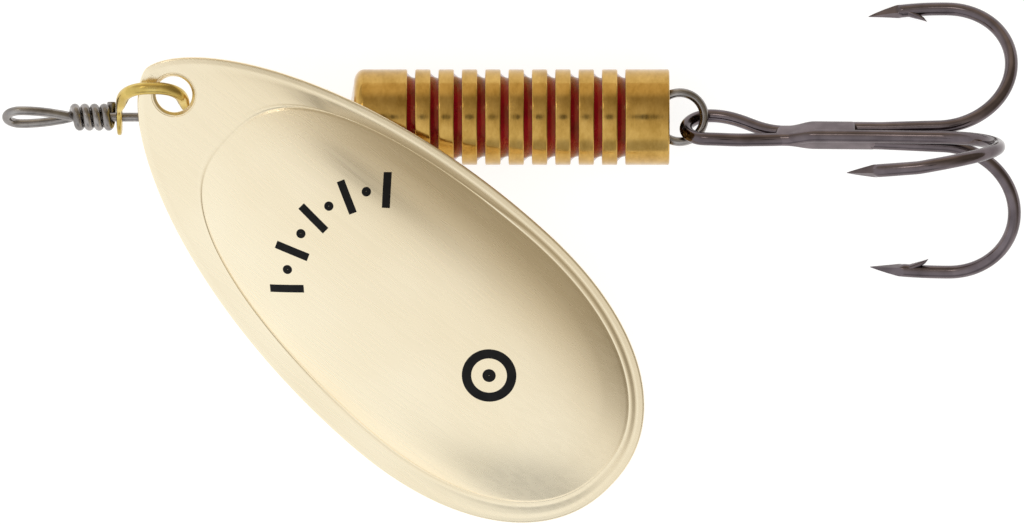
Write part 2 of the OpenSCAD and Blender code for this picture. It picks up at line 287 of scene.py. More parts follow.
def cut_out(mesh, cutter):
    """The mesh less the cutter, both in millimetres."""
    scene = bpy.context.scene.collection.objects
    whole, tool = bpy.data.objects.new("whole", mesh), bpy.data.objects.new("tool", cutter)
    scene.link(whole)
    scene.link(tool)
    cut = whole.modifiers.new("cut", "BOOLEAN")
    cut.operation, cut.solver, cut.object = "DIFFERENCE", "MANIFOLD", tool
    result = bpy.data.meshes.new_from_object(
        whole.evaluated_get(bpy.context.evaluated_depsgraph_get()))
    bpy.data.objects.remove(whole)
    bpy.data.objects.remove(tool)
    return result


# ---- Materials -------------------------------------------------------------------------


class Finish:
    """A Principled material with helpers for the fine detail of drawn, turned or plated metal."""

    def __init__(self, name, color, metallic, roughness, **sockets):
        self.material = bpy.data.materials.new(name)
        self.material.use_nodes = True
        self.nodes = self.material.node_tree.nodes
        self.links = self.material.node_tree.links
        self.shader = self.nodes["Principled BSDF"]
        self.shader.inputs["Base Color"].default_value = (*color, 1)
        self.shader.inputs["Metallic"].default_value = metallic
        self.shader.inputs["Roughness"].default_value = roughness
        for key, value in sockets.items():
            self.shader.inputs[key.replace("_", " ")].default_value = value
        self.place = self.nodes.new("ShaderNodeTexCoord").outputs["Object"]
        self.normal = None

    def noise(self, scale, stretch=(1, 1, 1), rotation=(0, 0, 0), detail=3.0, rough=0.5):
        mapping = self.nodes.new("ShaderNodeMapping")
        mapping.inputs["Rotation"].default_value = rotation
        self.links.new(self.place, mapping.inputs["Vector"])
        squeeze = self.nodes.new("ShaderNodeMapping")
        squeeze.inputs["Scale"].default_value = stretch
        self.links.new(mapping.outputs["Vector"], squeeze.inputs["Vector"])
        noise = self.nodes.new("ShaderNodeTexNoise")
        noise.inputs["Scale"].default_value = scale
        noise.inputs["Detail"].default_value = detail
        noise.inputs["Roughness"].default_value = rough
        self.links.new(squeeze.outputs["Vector"], noise.inputs["Vector"])
        return noise.outputs["Fac"]

    def ramp(self, value, stops):
        ramp = self.nodes.new("ShaderNodeValToRGB")
        elements = ramp.color_ramp.elements
        while len(elements) < len(stops):
            elements.new(0.5)
        for element, (at, color) in zip(elements, stops):
            element.position = at
            element.color = (*color, 1)
        self.links.new(value, ramp.inputs["Fac"])
        return ramp.outputs["Color"]

    def color(self, value, *stops):
        self.links.new(self.ramp(value, stops), self.shader.inputs["Base Color"])
        return self

    def rough(self, value, low, high):
        spread = self.nodes.new("ShaderNodeMapRange")
        spread.inputs["From Min"].default_value = 0.3
        spread.inputs["From Max"].default_value = 0.7
        spread.inputs["To Min"].default_value = low
        spread.inputs["To Max"].default_value = high
        self.links.new(value, spread.inputs["Value"])
        self.links.new(spread.outputs["Result"], self.shader.inputs["Roughness"])
        return self

    def bump(self, value, depth, strength=1.0):
        """Relief of that depth in millimetres."""
        bump = self.nodes.new("ShaderNodeBump")
        bump.inputs["Strength"].default_value = strength
        bump.inputs["Distance"].default_value = depth * MM
        self.links.new(value, bump.inputs["Height"])
        if self.normal:
            self.links.new(self.normal, bump.inputs["Normal"])
        self.normal = bump.outputs["Normal"]
        self.links.new(self.normal, self.shader.inputs["Normal"])
        return self


def steel_finish():
    f = Finish("drawn_steel", (0.5, 0.47, 0.44), 1.0, 0.22)
    f.color(f.noise(700), (0.3, (0.18, 0.165, 0.155)), (0.5, (0.27, 0.25, 0.24)),
            (0.75, (0.4, 0.375, 0.355)))
    f.rough(f.noise(2500, (0.1, 1, 1)), 0.14, 0.3)
    f.bump(f.noise(4000, (0.08, 1, 1)), 0.01, 0.5)
    return f.material


def clevis_finish():
    f = Finish("yellow_brass_wire", (0.82, 0.58, 0.2), 1.0, 0.16)
    f.color(f.noise(500), (0.3, (0.46, 0.32, 0.08)), (0.55, (0.64, 0.47, 0.14)),
            (0.8, (0.76, 0.6, 0.24)))
    f.rough(f.noise(1800), 0.16, 0.28)
    f.bump(f.noise(3000, detail=2), 0.008, 0.4)
    return f.material


def blade_finish():
    f = Finish("pale_gold_plate", (0.9, 0.82, 0.64), 1.0, 0.26)
    brush = (0, 0, radians(38))
    f.color(f.noise(90, detail=2), (0.3, (0.89, 0.77, 0.55)), (0.7, (0.92, 0.81, 0.6)))
    f.rough(f.noise(2600, (0.04, 1, 1), brush), 0.23, 0.31)
    f.bump(f.noise(3800, (0.025, 1, 1), brush, detail=4), 0.003, 0.2)
    return f.material


def brass_finish(name, dark, mid, light):
    f = Finish(name, mid, 1.0, 0.24, Coat_Weight=0.25, Coat_Roughness=0.12)
    f.color(f.noise(900, (1, 0.5, 0.5), detail=6, rough=0.72), (0.34, dark), (0.5, mid), (0.68, light))
    f.rough(f.noise(2200, (1, 0.05, 0.05)), 0.12, 0.24)
    f.bump(f.noise(5200, (1, 0.02, 0.02), detail=2), 0.006, 0.5)
    return f.material


def enamel_finish():
    f = Finish("dark_red_enamel", (0.22, 0.004, 0.012), 0.0, 0.2,
               Coat_Weight=0.8, Coat_Roughness=0.05)
    f.color(f.noise(420), (0.3, (0.16, 0.001, 0.008)), (0.55, (0.3, 0.002, 0.014)),
            (0.8, (0.42, 0.006, 0.022)))
    f.rough(f.noise(900), 0.14, 0.3)
    f.bump(f.noise(500, detail=2), 0.03, 0.3)
    return f.material


def hook_finish(name, lift):
    f = Finish(name, (0.2, 0.18, 0.18), 1.0, 0.26)
    f.color(f.noise(520, detail=4), (0.28, (0.1 * lift, 0.081 * lift, 0.086 * lift)),
            (0.5, (0.135 * lift, 0.11 * lift, 0.117 * lift)),
            (0.78, (0.185 * lift, 0.152 * lift, 0.16 * lift)))
    f.rough(f.noise(1500), 0.1, 0.17)
    f.bump(f.noise(2600, detail=3), 0.005, 0.3)
    return f.material


def ink_finish():
    f = Finish("black_print", (0.006, 0.006, 0.006), 0.0, 0.42, Specular_IOR_Level=0.15)
    f.color(f.noise(1200), (0.35, (0.004, 0.004, 0.004)), (0.7, (0.009, 0.008, 0.008)))
    f.rough(f.noise(1800), 0.34, 0.5)
    return f.material


STEEL = steel_finish()
CLEVIS = clevis_finish()
BLADE = blade_finish()
BRASS = brass_finish("turned_brass", (0.43, 0.245, 0.045), (0.52, 0.31, 0.07), (0.61, 0.38, 0.1))
BEAD = brass_finish("bead_brass", (0.5, 0.3, 0.09), (0.68, 0.47, 0.17), (0.82, 0.63, 0.29))
ENAMEL = enamel_finish()
HOOK = hook_finish("black_nickel", 1.0)
BRAZE = hook_finish("braze_metal", 1.15)
INK = ink_finish()

# ---- Shaft wire ------------------------------------------------------------------------

EYE_WIRE_X = EYE_TIP_R + 0.41


def in_eye_plane(x, w):
    return np.array([x, w * cos(EYE_LEAN), w * sin(EYE_LEAN)])


def limb_width(x):
    share = np.clip((x - EYE_WIRE_X) / (EYE_NECK_X - EYE_WIRE_X), 0, 1)
    return EYE_TIP_R * cos(share * pi / 2) ** 0.9


def shaft_path():
    loop_bend_x = LOOP_X - sqrt(3) * LOOP_R
    path = [(loop_bend_x + 0.6, -0.95, 0)]
    path += [(LOOP_X + LOOP_R * cos(a), LOOP_R * sin(a), 0)
             for a in np.radians(np.arange(-150, 151, 5))]
    path += [(loop_bend_x + LOOP_R * sin(a), LOOP_R * (1 - cos(a)), 0)
             for a in np.radians(np.arange(50, -1, -5))]
    path += [(x, 0, 0) for x in np.arange(loop_bend_x - 1, EYE_NECK_X + 0.5, -1)]
    reach = EYE_WIRE_X - EYE_NECK_X
    path += [in_eye_plane(x, limb_width(x)) for x in EYE_NECK_X + reach * np.linspace(0, 1, 24)]
    path += [in_eye_plane(EYE_WIRE_X + EYE_TIP_R * cos(a), EYE_TIP_R * sin(a))
             for a in np.radians(np.arange(100, 261, 8))]
    path += [in_eye_plane(EYE_WIRE_X - reach * s, -limb_width(EYE_WIRE_X - reach * s))
             - np.array([0, 0, WRAP_R * s * s]) for s in np.linspace(0, 0.8, 20)]
    path += [(WRAP_X + WRAP_PITCH * a / (2 * pi), WRAP_R * cos(a), WRAP_R * sin(a))
             for a in np.radians(np.arange(-90, WRAP_TURNS * 360 - 89, 8))]
    end_x = WRAP_X + WRAP_PITCH * (WRAP_TURNS - 0.25)
    path += [(end_x, h, -WRAP_R) for h in np.linspace(0.1, WRAP_TAIL_H, 8)]
    return resampled(path, 0.12, smoothing=3)


def cut_ends(radii):
    """The wire's cut ends are slightly eased."""
    for k, share in enumerate((0.86, 0.97)):
        radii[k] *= share
        radii[-1 - k] *= share
    return radii


wire = shaft_path()
add_piece("spring_wire_shaft", mesh_of("spring_wire_shaft", round_wire(
    wire, cut_ends(np.full(len(wire), WIRE_R)))), STEEL, "shaft", "shaft_wire")

# ---- Clevis ----------------------------------------------------------------------------


def ease(x):
    x = np.clip(x, 0, 1)
    return x * x * (3 - 2 * x)


def clevis_half():
    """Stations of one leg, from the foot of the ear to the top of the crown: (place along x,
    height, direction of the wire's thickness, half width, half thickness, squareness)."""
    stations = []
    for t in np.linspace(0.06, pi / 2, 16):
        stations.append((-EAR_R * cos(t), 0.0))
    for z in np.linspace(0.15, CROWN_Z, 18):
        stations.append((z, 0.0))
    for a in np.linspace(0, pi / 2, 22)[1:]:
        stations.append((CROWN_Z + a * CROWN_R, a))
    out = []
    for run, a in stations:
        blend = ease((run - EAR_TOP) / EAR_FLARE)
        across = EAR_X + (CROWN_R - EAR_X) * blend
        if a:
            c, s = max(cos(a), 0.0) ** (2 / ARCH_POWER), sin(a) ** (2 / ARCH_POWER)
            x, z = across * c, CROWN_Z + CROWN_RISE * s
            a = np.arctan2(across * s ** (ARCH_POWER - 1), CROWN_RISE * c ** (ARCH_POWER - 1))
        else:
            x, z = across, run
        disc = sqrt(max(0, EAR_R ** 2 - run ** 2)) if abs(run) < EAR_R else 0
        neck = EAR_NECK + (CLEVIS_WIRE_R - EAR_NECK) * blend if run > 0 else 0
        width = (disc ** 6 + neck ** 6) ** (1 / 6)
        half = EAR_HALF_T + (CLEVIS_WIRE_R - EAR_HALF_T) * blend
        out.append((x, z, a, width, half, 4 - 2 * blend))
    return out


def clevis_shape():
    half = clevis_half()
    stations = half + [(-x, z, pi - a, w, h, e) for x, z, a, w, h, e in reversed(half[:-1])]
    angles = np.linspace(0, 2 * pi, 40, endpoint=False)
    verts = []
    for x, z, a, w, h, e in stations:
        for t in angles:
            across = np.sign(cos(t)) * abs(cos(t)) ** (2 / e) * h
            along_y = np.sign(sin(t)) * abs(sin(t)) ** (2 / e) * w
            verts.append((x + across * cos(a), along_y, z + across * sin(a)))
    return ringed(verts, len(angles))


def bore_cutter():
    """A cylinder through both ears, wider at each face so that the bores have eased edges."""
    lip, past, sides = 0.07, 1.5, 48
    profile = [(-EAR_X - past, BORE_R)]
    for side in (-1, 1):
        for face in sorted((side * (EAR_X - EAR_HALF_T), side * (EAR_X + EAR_HALF_T))):
            profile += [(face - lip, BORE_R), (face, BORE_R + lip), (face + lip, BORE_R)]
    profile.append((EAR_X + past, BORE_R))
    verts = [(x, r * cos(2 * pi * s / sides), r * sin(2 * pi * s / sides))
             for x, r in profile for s in range(sides)]
    return ringed(verts, sides)


def placed(mesh, rotation, shift):
    mesh.transform(Matrix.Translation(shift) @ Matrix(rotation.tolist()).to_4x4())
    return mesh


clevis = cut_out(mesh_of("clevis_wire", clevis_shape()), mesh_of("bores", bore_cutter()))
clevis.name = "clevis_stirrup"
add_piece("clevis_stirrup", placed(clevis, turn("X", CLEVIS_LEAN), (CLEVIS_X, 0, 0)),
          CLEVIS, "clevis", "clevis", sharp=40)

# ---- Blade -----------------------------------------------------------------------------

AROUND = 288
BLADE_TURN = turn("Y", BLADE_PITCH) @ turn("X", BLADE_ROLL) @ turn("Z", BLADE_YAW)
DOME_TOP = np.array([BLADE_WIDEST - HOLE_IN - 1, DOME_ASIDE])
CREASE_EASE = 0.045
BEVEL_DROP = 0.1
FLAT_EDGE = 0.72                       # width of the flat edge outside the rising flange
TIP_LIFT = 0.002
TAIL_POWER = 2.2
FLANGE_RISE = 0.3                      # the flange climbs this much from its edge to the crease


def oval(start, end, width, nose_power, aside):
    a = (np.arange(AROUND) + 0.5) * 2 * pi / AROUND
    c, s = np.cos(a), np.sin(a)
    x = np.where(c > 0, BLADE_WIDEST + (end - BLADE_WIDEST) * c,
                 BLADE_WIDEST + (BLADE_WIDEST - start) * c) - HOLE_IN
    tail = np.clip(1 - np.clip(c, 0, 1) ** TAIL_POWER, 0, 1) ** (1 / TAIL_POWER)
    nose = np.clip(1 - c * c, 0, 1) ** nose_power
    return np.stack([x, aside + np.sign(s) * width / 2 * np.where(c > 0, tail, nose)], 1)


OUTLINE = oval(0, BLADE_LEN, BLADE_W, BLADE_NOSE, 0)
DOME = oval(DOME_START, DOME_END, DOME_W, DOME_NOSE, DOME_ASIDE)


def inset(outline, by):
    t = unit(np.roll(outline, -1, 0) - np.roll(outline, 1, 0))
    return outline + by * np.stack([-t[:, 1], t[:, 0]], 1)


def dome_height(q):
    """Rise of the dome at a share q of the way from its top to its crease, eased at the crease."""
    rise = (DOME_H - FLANGE_RISE) * (1 - q ** DOME_POWER)
    return (rise + np.sqrt(rise ** 2 + CREASE_EASE ** 2)) / 2 * np.clip((1.25 - q) / 0.15, 0, 1)


def crease_line(d):
    """A fine line pressed in along the crease, with a slight ridge on the flange's side, where
    d, the distance from the crease, is negative."""
    return -0.06 * np.exp(-(d / 0.13) ** 2) + 0.035 * np.exp(-((d + 0.42) / 0.22) ** 2)


def blade_loops():
    """Rings of the upper skin from the edge to the top of the dome, as (points, height)."""
    half = BLADE_T / 2
    loops = []
    for by, z in ((0.0, -0.02), (0.0, 0.05), (0.03, 0.12), (0.09, half - BEVEL_DROP),
                  (0.2, half - 0.075), (0.4, half - 0.035), (0.5, half - 0.012), (0.6, half)):
        loops.append((inset(OUTLINE, by), np.full(AROUND, z)))
    inner = inset(OUTLINE, FLAT_EDGE)
    wide = np.linalg.norm(inner - DOME_TOP, axis=1) / np.linalg.norm(DOME - DOME_TOP, axis=1)
    flange = np.linalg.norm(DOME - inner, axis=1)
    radius = np.linalg.norm(DOME - DOME_TOP, axis=1)
    near = np.minimum(0.85, 0.5 * flange)
    shares = [np.full(AROUND, s) for s in (0.0, 0.2, 0.4)]
    shares += [1 - d * near / flange for d in (1, 0.82, 0.68, 0.56, 0.45, 0.33, 0.24, 0.15, 0.07)]
    for share in shares:
        line = crease_line((share - 1) * flange) * ease(share / 0.3)
        loops.append((inner + share[:, None] * (DOME - inner),
                      half + FLANGE_RISE * share + dome_height(wide + share * (1 - wide)) + line))
    for d in (0, 0.06, 0.12, 0.19, 0.27, 0.38, 0.5, 0.65, 0.85):
        q = 1 - d / radius
        loops.append((DOME_TOP + q[:, None] * (DOME - DOME_TOP),
                      half + FLANGE_RISE + dome_height(q) + crease_line(d)))
    for q in (0.88, 0.85, 0.8, 0.74, 0.67, 0.59, 0.5, 0.41, 0.32, 0.23, 0.15, 0.07):
        loops.append((DOME_TOP + q * (DOME - DOME_TOP),
                      half + FLANGE_RISE + dome_height(np.full(AROUND, q))))
    return loops


def blade_sheet():
    """The lower skin from its middle to the edge, then the upper skin back to the middle."""
    upper = blade_loops()
    edge = ((0.02, 0.12), (0.08, 0.05), (0.18, 0), (0.4, 0), (0.5, 0), (0.6, 0))
    lower = [(inset(OUTLINE, by), np.full(AROUND, lift - BLADE_T / 2)) for by, lift in edge]
    lower += [(points, z - BLADE_T) for points, z in upper[2 + len(edge):]]
    rings = list(reversed(lower)) + upper
    verts = [(*DOME_TOP, DOME_H + TIP_LIFT - BLADE_T / 2)]
    for points, z in rings:
        verts += [(x, y, h) for (x, y), h in zip(points, z)]
    verts.append((*DOME_TOP, DOME_H + TIP_LIFT + BLADE_T / 2))
    top, count = len(verts) - 1, len(rings)
    faces = [(1 + r * AROUND + i, 1 + r * AROUND + (i + 1) % AROUND,
              1 + (r + 1) * AROUND + (i + 1) % AROUND, 1 + (r + 1) * AROUND + i)
             for r in range(count - 1) for i in range(AROUND)]
    last = 1 + (count - 1) * AROUND
    for i in range(AROUND):
        faces.append((0, 1 + (i + 1) % AROUND, 1 + i))
        faces.append((top, last + i, last + (i + 1) % AROUND))
    return np.array(verts), faces


def hole_cutter():
    """The hanging hole with its edges rounded over on both sides."""
    lip, half, sides = 0.27, BLADE_T / 2, 128
    past, proud = 1.2, 0.02
    profile = [(-past, HANG_R + lip)]
    profile += [(-half + lip * sin(a) - proud, HANG_R + lip * (1 - cos(pi / 2 - a)))
                for a in np.radians(np.arange(0, 91, 15))]
    profile += [(half - lip * sin(a) + proud, HANG_R + lip * (1 - cos(pi / 2 - a)))
                for a in np.radians(np.arange(75, -1, -15))]
    profile += [(past, HANG_R + lip)]
    verts = [(r * cos(2 * pi * s / sides), r * sin(2 * pi * s / sides), z)
             for z, r in profile for s in range(sides)]
    return ringed(verts, sides)


def lip_line():
    """A thin round line pressed into the blade, that sets off the lip of the hole."""
    major, minor, around, sides = 1.97, 0.08, 160, 12
    verts = [((major + minor * cos(2 * pi * k / sides)) * cos(2 * pi * s / around),
              (major + minor * cos(2 * pi * k / sides)) * sin(2 * pi * s / around),
              BLADE_T / 2 + minor * sin(2 * pi * k / sides))
             for s in range(around) for k in range(sides)]
    faces = [(s * sides + k, (s + 1) % around * sides + k,
              (s + 1) % around * sides + (k + 1) % sides, s * sides + (k + 1) % sides)
             for s in range(around) for k in range(sides)]
    return np.array(verts), faces


def blade_placed(mesh):
    return placed(mesh, BLADE_TURN, HOLE_AT)


# The hole follows the slope of the flange
FLANGE_SLOPE = FLANGE_RISE / (DOME_START - FLAT_EDGE)
blade = mesh_of("blade_blank", blade_sheet())
for name, shape in (("hole", hole_cutter()), ("lip_line", lip_line())):
    blade = cut_out(blade, placed(mesh_of(name, shape), turn("Y", -FLANGE_SLOPE),
                                  (0, 0, FLANGE_SLOPE * (HOLE_IN - FLAT_EDGE))))
blade.name = "stamped_blade"
add_piece("stamped_blade", blade_placed(blade), BLADE, "blade", "blade", sharp=50)

# ---- Printed marks on the blade: a plain arc of bars and dots, and a ring with a dot --------

PRINT_T = 0.014
DOME_ANGLES = np.arctan2(DOME[:, 1] - DOME_TOP[1], DOME[:, 0] - DOME_TOP[0])
DOME_RADII = np.linalg.norm(DOME - DOME_TOP, axis=1)


def skin_height(x, y):
    """Height of the dome's upper skin over a point of the blade."""
    dx, dy = x - DOME_TOP[0], y - DOME_TOP[1]
    edge = np.interp(np.arctan2(dy, dx), DOME_ANGLES, DOME_RADII, period=2 * pi)
    return BLADE_T / 2 + FLANGE_RISE + dome_height(np.hypot(dx, dy) / edge)


def printed(point, u_count, v_count, round_u=False):
    """A thin closed patch that lies on the blade. point(u, v) gives its place for u, v in 0..1."""
    us = np.linspace(0, 1, u_count, endpoint=not round_u)
    vs = np.linspace(0, 1, v_count)
    verts = []
    for lift in (PRINT_T, -PRINT_T):
        for u in us:
            for v in vs:
                x, y = point(u, v)
                verts.append((x, y, float(skin_height(x, y)) + lift))
    size = u_count * v_count
    last = u_count if round_u else u_count - 1
    faces = []
    for i in range(last):
        for j in range(v_count - 1):
            a, b = i * v_count + j, (i + 1) % u_count * v_count + j
            faces.append((a, b, b + 1, a + 1))
            faces.append((size + a + 1, size + b + 1, size + b, size + a))
    for i in range(last):
        for j in (0, v_count - 1):
            a, b = i * v_count + j, (i + 1) % u_count * v_count + j
            faces.append((a, size + a, size + b, b))
    if not round_u:
        for i in (0, u_count - 1):
            for j in range(v_count - 1):
                a = i * v_count + j
                faces.append((a, a + 1, size + a + 1, size + a))
    return np.array(verts), faces


def bar(center, radius, angle, length, width):
    out = np.array([cos(angle), sin(angle)])
    side = np.array([-out[1], out[0]])

    def point(u, v):
        return center + (radius + (u - 0.5) * length) * out + (v - 0.5) * width * side
    return printed(point, 14, 4)


def ring(center, outer, inner):
    def point(u, v):
        r = inner + (outer - inner) * v
        return center + r * np.array([cos(2 * pi * u), sin(2 * pi * u)])
    return printed(point, 64, 5, round_u=True)


ARC_AT, ARC_R = np.array([25.2, 0.4]), 8.7
BAR_LEN, BAR_W, DOT_R = 3.1, 0.72, 0.42
PIN_R = 0.02                           # a dot is a ring that is almost closed
ARC_ANGLES = np.radians(np.linspace(130, 226, 9))
ARC_MARKS = [bar(ARC_AT, ARC_R, a, BAR_LEN, BAR_W) if i % 2 == 0
             else ring(ARC_AT + ARC_R * np.array([cos(a), sin(a)]), DOT_R, PIN_R)
             for i, a in enumerate(ARC_ANGLES)]
RING_AT, RING_R, RING_HOLE_R, RING_DOT_R = np.array([37.7, 0.8]), 2.45, 1.6, 0.6
RING_MARKS = [ring(RING_AT, RING_R, RING_HOLE_R), ring(RING_AT, RING_DOT_R, PIN_R)]
for name, shapes in (("blade_mark_arc", ARC_MARKS), ("blade_mark_ring", RING_MARKS)):
    add_piece(name, blade_placed(mesh_of(name, joined(*shapes))), INK, "blade")

# ---- Beads, body and enamel ------------------------------------------------------------------


def bead_outline(x, r):
    """A ball with its bore, whose mouths are slightly eased."""
    start = asin(BORE_R / r) + 0.05
    outline = [(x - r * cos(a), r * sin(a)) for a in np.linspace(start, pi - start, 40)]
    face = outline[-1][0]
    return outline + [(face - 0.08, BORE_R), (2 * x - face + 0.08, BORE_R)]


for place in ("front", "mid", "rear"):
    name = "turned_bead_" + place
    low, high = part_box("bearing_bead_" + place)
    x, r = ((low.x + high.x) / 2 - ORIGIN[0]) / MM, (high.z - low.z) / 2 / MM
    add_piece(name, mesh_of(name, lathed(bead_outline(x, r), 96)), BEAD, place + "_bead",
              "bearing_bead_" + place, sharp=40)


def groove_x(i):
    return NOSE_END_X + i * RING_PITCH


def body_outline():
    """Corners of the body's section, each with the radius that rounds it."""
    corners = [((BODY_X, BORE_R), 0)]
    corners += [((BODY_X + NOSE_FACE_X + NOSE_DEPTH * (1 - cos(a)),
                  BODY_R - NOSE_ROUND * (1 - sin(a))), 0)
                for a in np.linspace(0, pi / 2, 14)]
    for i in range(RING_COUNT + 1):
        x = groove_x(i)
        corners += [((x, BODY_R), RING_EDGE_R), ((x, GROOVE_R), 0),
                    ((x + GROOVE_LEN, GROOVE_R), 0), ((x + GROOVE_LEN, BODY_R), RING_EDGE_R)]
    corners += [((BODY_END_X, BODY_R), 0.16), ((BODY_END_X, SOCKET_R), 0.1),
                ((SOCKET_X, SOCKET_R), 0.2), ((SOCKET_X, BORE_R), 0)]
    return filleted([c[0] for c in corners], [c[1] for c in corners])


def enamel_outline(i):
    """Section of one enamel fill: it climbs the groove's front wall and sags between the walls."""
    x = groove_x(i)
    top = [(x + s * GROOVE_LEN, ENAMEL_FRONT_R + (ENAMEL_REAR_R - ENAMEL_FRONT_R) * s
            - ENAMEL_SAG * sin(pi * s)) for s in np.linspace(0, 1, 9)]
    return [(x, GROOVE_R)] + top + [(x + GROOVE_LEN, GROOVE_R)]


add_piece("turned_brass_body", mesh_of("turned_brass_body", lathed(body_outline(), 192)),
          BRASS, "body", "lure_body", sharp=40)
add_piece("enamel_fill", mesh_of("enamel_fill", joined(
    *[lathed(enamel_outline(i), 160) for i in range(RING_COUNT + 1)])),
    ENAMEL, "body", "groove_enamel", sharp=50)

# ---- Treble hook -----------------------------------------------------------------------------

TREBLE_TURN = turn("Z", TREBLE_YAW) @ turn("Y", -TREBLE_RISE)
LIMB_TURN = 2 * np.arctan((TREBLE_EYE_R - LIMB_GAP) / LIMB_END_X)
LIMB_ARC_R = LIMB_END_X / (2 * sin(LIMB_TURN))


def away(angle):
    """The direction out from the treble's axis at that angle, where 0 is towards the viewer."""
    return np.array([0, sin(angle), cos(angle)])


UPPER, LOWER, FRONT = radians(122), radians(-116), radians(-8.7)
SHANK_OFF = 0.74
UPPER_SHANK, LOWER_SHANK = SHANK_OFF * away(UPPER), SHANK_OFF * away(LOWER)
FRONT_SHANK = np.array([0, -0.1, 0.8])


class Hook:
    """A hook that leaves its shank at start and reaches out, with its point limb's own shape."""

    def __init__(self, start, angle, tip_in, limb=LIMB_LEN, aside=0.0):
        self.start, self.out = start, away(angle)
        self.tip_in, self.limb, self.aside = tip_in, limb, aside
        self.ahead = np.array([1.0, 0, 0])
        self.side = np.cross(self.ahead, self.out)
        self.r = (HOOK_REACH - start.dot(self.out)) / 2

    def turned(self, share):
        return share ** 2 * self.aside * self.side

    def limb_point(self, q):
        return (self.start - self.limb * q * self.ahead
                + (2 * self.r - self.tip_in * q ** 2.2) * self.out
                + self.turned(BEND_SHARE + (1 - BEND_SHARE) * q))

    def curve(self):
        bend = [self.start + self.r * (sin(a) * self.ahead + (1 - cos(a)) * self.out)
                + self.turned(BEND_SHARE * max(0.0, a - pi / 2) / (pi / 2))
                for a in np.radians(np.arange(3, 178, 3))]
        return bend + [self.limb_point(q) for q in np.linspace(0, 1, 24)]


def hook_shape(shank, hook):
    """Round wire along the shank, the bend and the point limb, ground to a four-sided spear."""
    path = resampled(list(shank) + [hook.start] + hook.curve(), 0.16, smoothing=4)
    left = np.r_[np.cumsum(np.linalg.norm(np.diff(path, axis=0), axis=1)[::-1])[::-1], 0]
    radii = HOOK_R * np.clip(0.035 + (left / SPEAR_LEN) ** 0.9, 0, 1)
    radii[0] *= 0.8
    radii[1] *= 0.95
    angles = np.linspace(0, 2 * pi, 32, endpoint=False)
    circle = np.stack([np.cos(angles), np.sin(angles)], 1)
    diamond = DIAMOND_SIZE * circle / (abs(circle[:, :1]) + abs(circle[:, 1:]))

    def section(i):
        ground = ease((SPEAR_LEN - left[i]) / SPEAR_GROWS)
        return radii[i] * ((1 - ground) * circle + ground * diamond)

    wire = swept(path, section, first=hook.out + hook.side)
    return joined(wire, barb_shape(hook))


def barb_shape(hook):
    """The barb is a sliver cut from the inner side of the point and bent away from it. Its
    stations are (place along the limb, lift, half width, half thickness)."""
    foot = hook.limb_point(1 - BARB_BACK / hook.limb) + (BARB_SINK - HOOK_R) * hook.out
    stations = ((-1.1, 0.2, 0.34, 0.14), (-0.5, 0.12, 0.42, 0.2), (0.1, -0.04, 0.4, 0.24),
                (0.7, -0.24, 0.28, 0.24), (1.15, -0.48, 0.14, 0.16), (1.45, -0.74, 0.02, 0.02))
    verts, sides = [], 12
    for along, drop, half_w, half_t in stations:
        for k in range(sides):
            a = 2 * pi * k / sides
            verts.append(foot + along * hook.ahead + drop * hook.out
                         + half_w * cos(a) * hook.side + half_t * sin(a) * hook.out)
    return ringed(verts, sides)


def in_treble_eye(x, w):
    """The eye stands to one side of the shanks, and its limbs come over to them."""
    still_aside = (1 + cos(pi * np.clip(x / EYE_NECK, 0, 1))) / 2
    over = FRONT_SHANK[1] + (EYE_ASIDE - FRONT_SHANK[1]) * still_aside
    return np.array([x, w * cos(EYE_ROLL) + over, w * sin(EYE_ROLL)])


def limb_arc(x):
    """Distance of the eye's limb from the eye's middle line: two arcs, out and back in."""
    if x < LIMB_END_X / 2:
        return TREBLE_EYE_R - LIMB_ARC_R + sqrt(LIMB_ARC_R ** 2 - x * x)
    return LIMB_GAP + LIMB_ARC_R - sqrt(LIMB_ARC_R ** 2 - (LIMB_END_X - x) ** 2)


def at_x(x, shank):
    return np.array([x, 0, 0]) + shank


def eyed_hook():
    xs = np.linspace(0, LIMB_END_X, 17)
    shank = [in_treble_eye(TUCKED_END_X, LIMB_GAP)] + [in_treble_eye(x, limb_arc(x)) for x in xs[::-1]]
    shank += [in_treble_eye(TREBLE_EYE_R * cos(a), TREBLE_EYE_R * sin(a))
              for a in np.radians(np.arange(97, 264, 7))]
    shank += [in_treble_eye(x, -limb_arc(x)) for x in xs]
    shank += [at_x(SHANK_FROM, FRONT_SHANK), at_x(BRAZE_END, FRONT_SHANK)]
    return hook_shape(shank, Hook(at_x(SHANK_LEN + FRONT_SET, SPLAY * FRONT_SHANK), FRONT,
                                  TIP_IN, LIMB_LEN - FRONT_SET, FRONT_ASIDE))


def plain_hook(first_x, set_back, shank_at, angle, tip_in):
    shank = [at_x(first_x, shank_at), at_x(BRAZE_END, shank_at)]
    return hook_shape(shank, Hook(at_x(SHANK_LEN + set_back, SPLAY * shank_at), angle, tip_in))


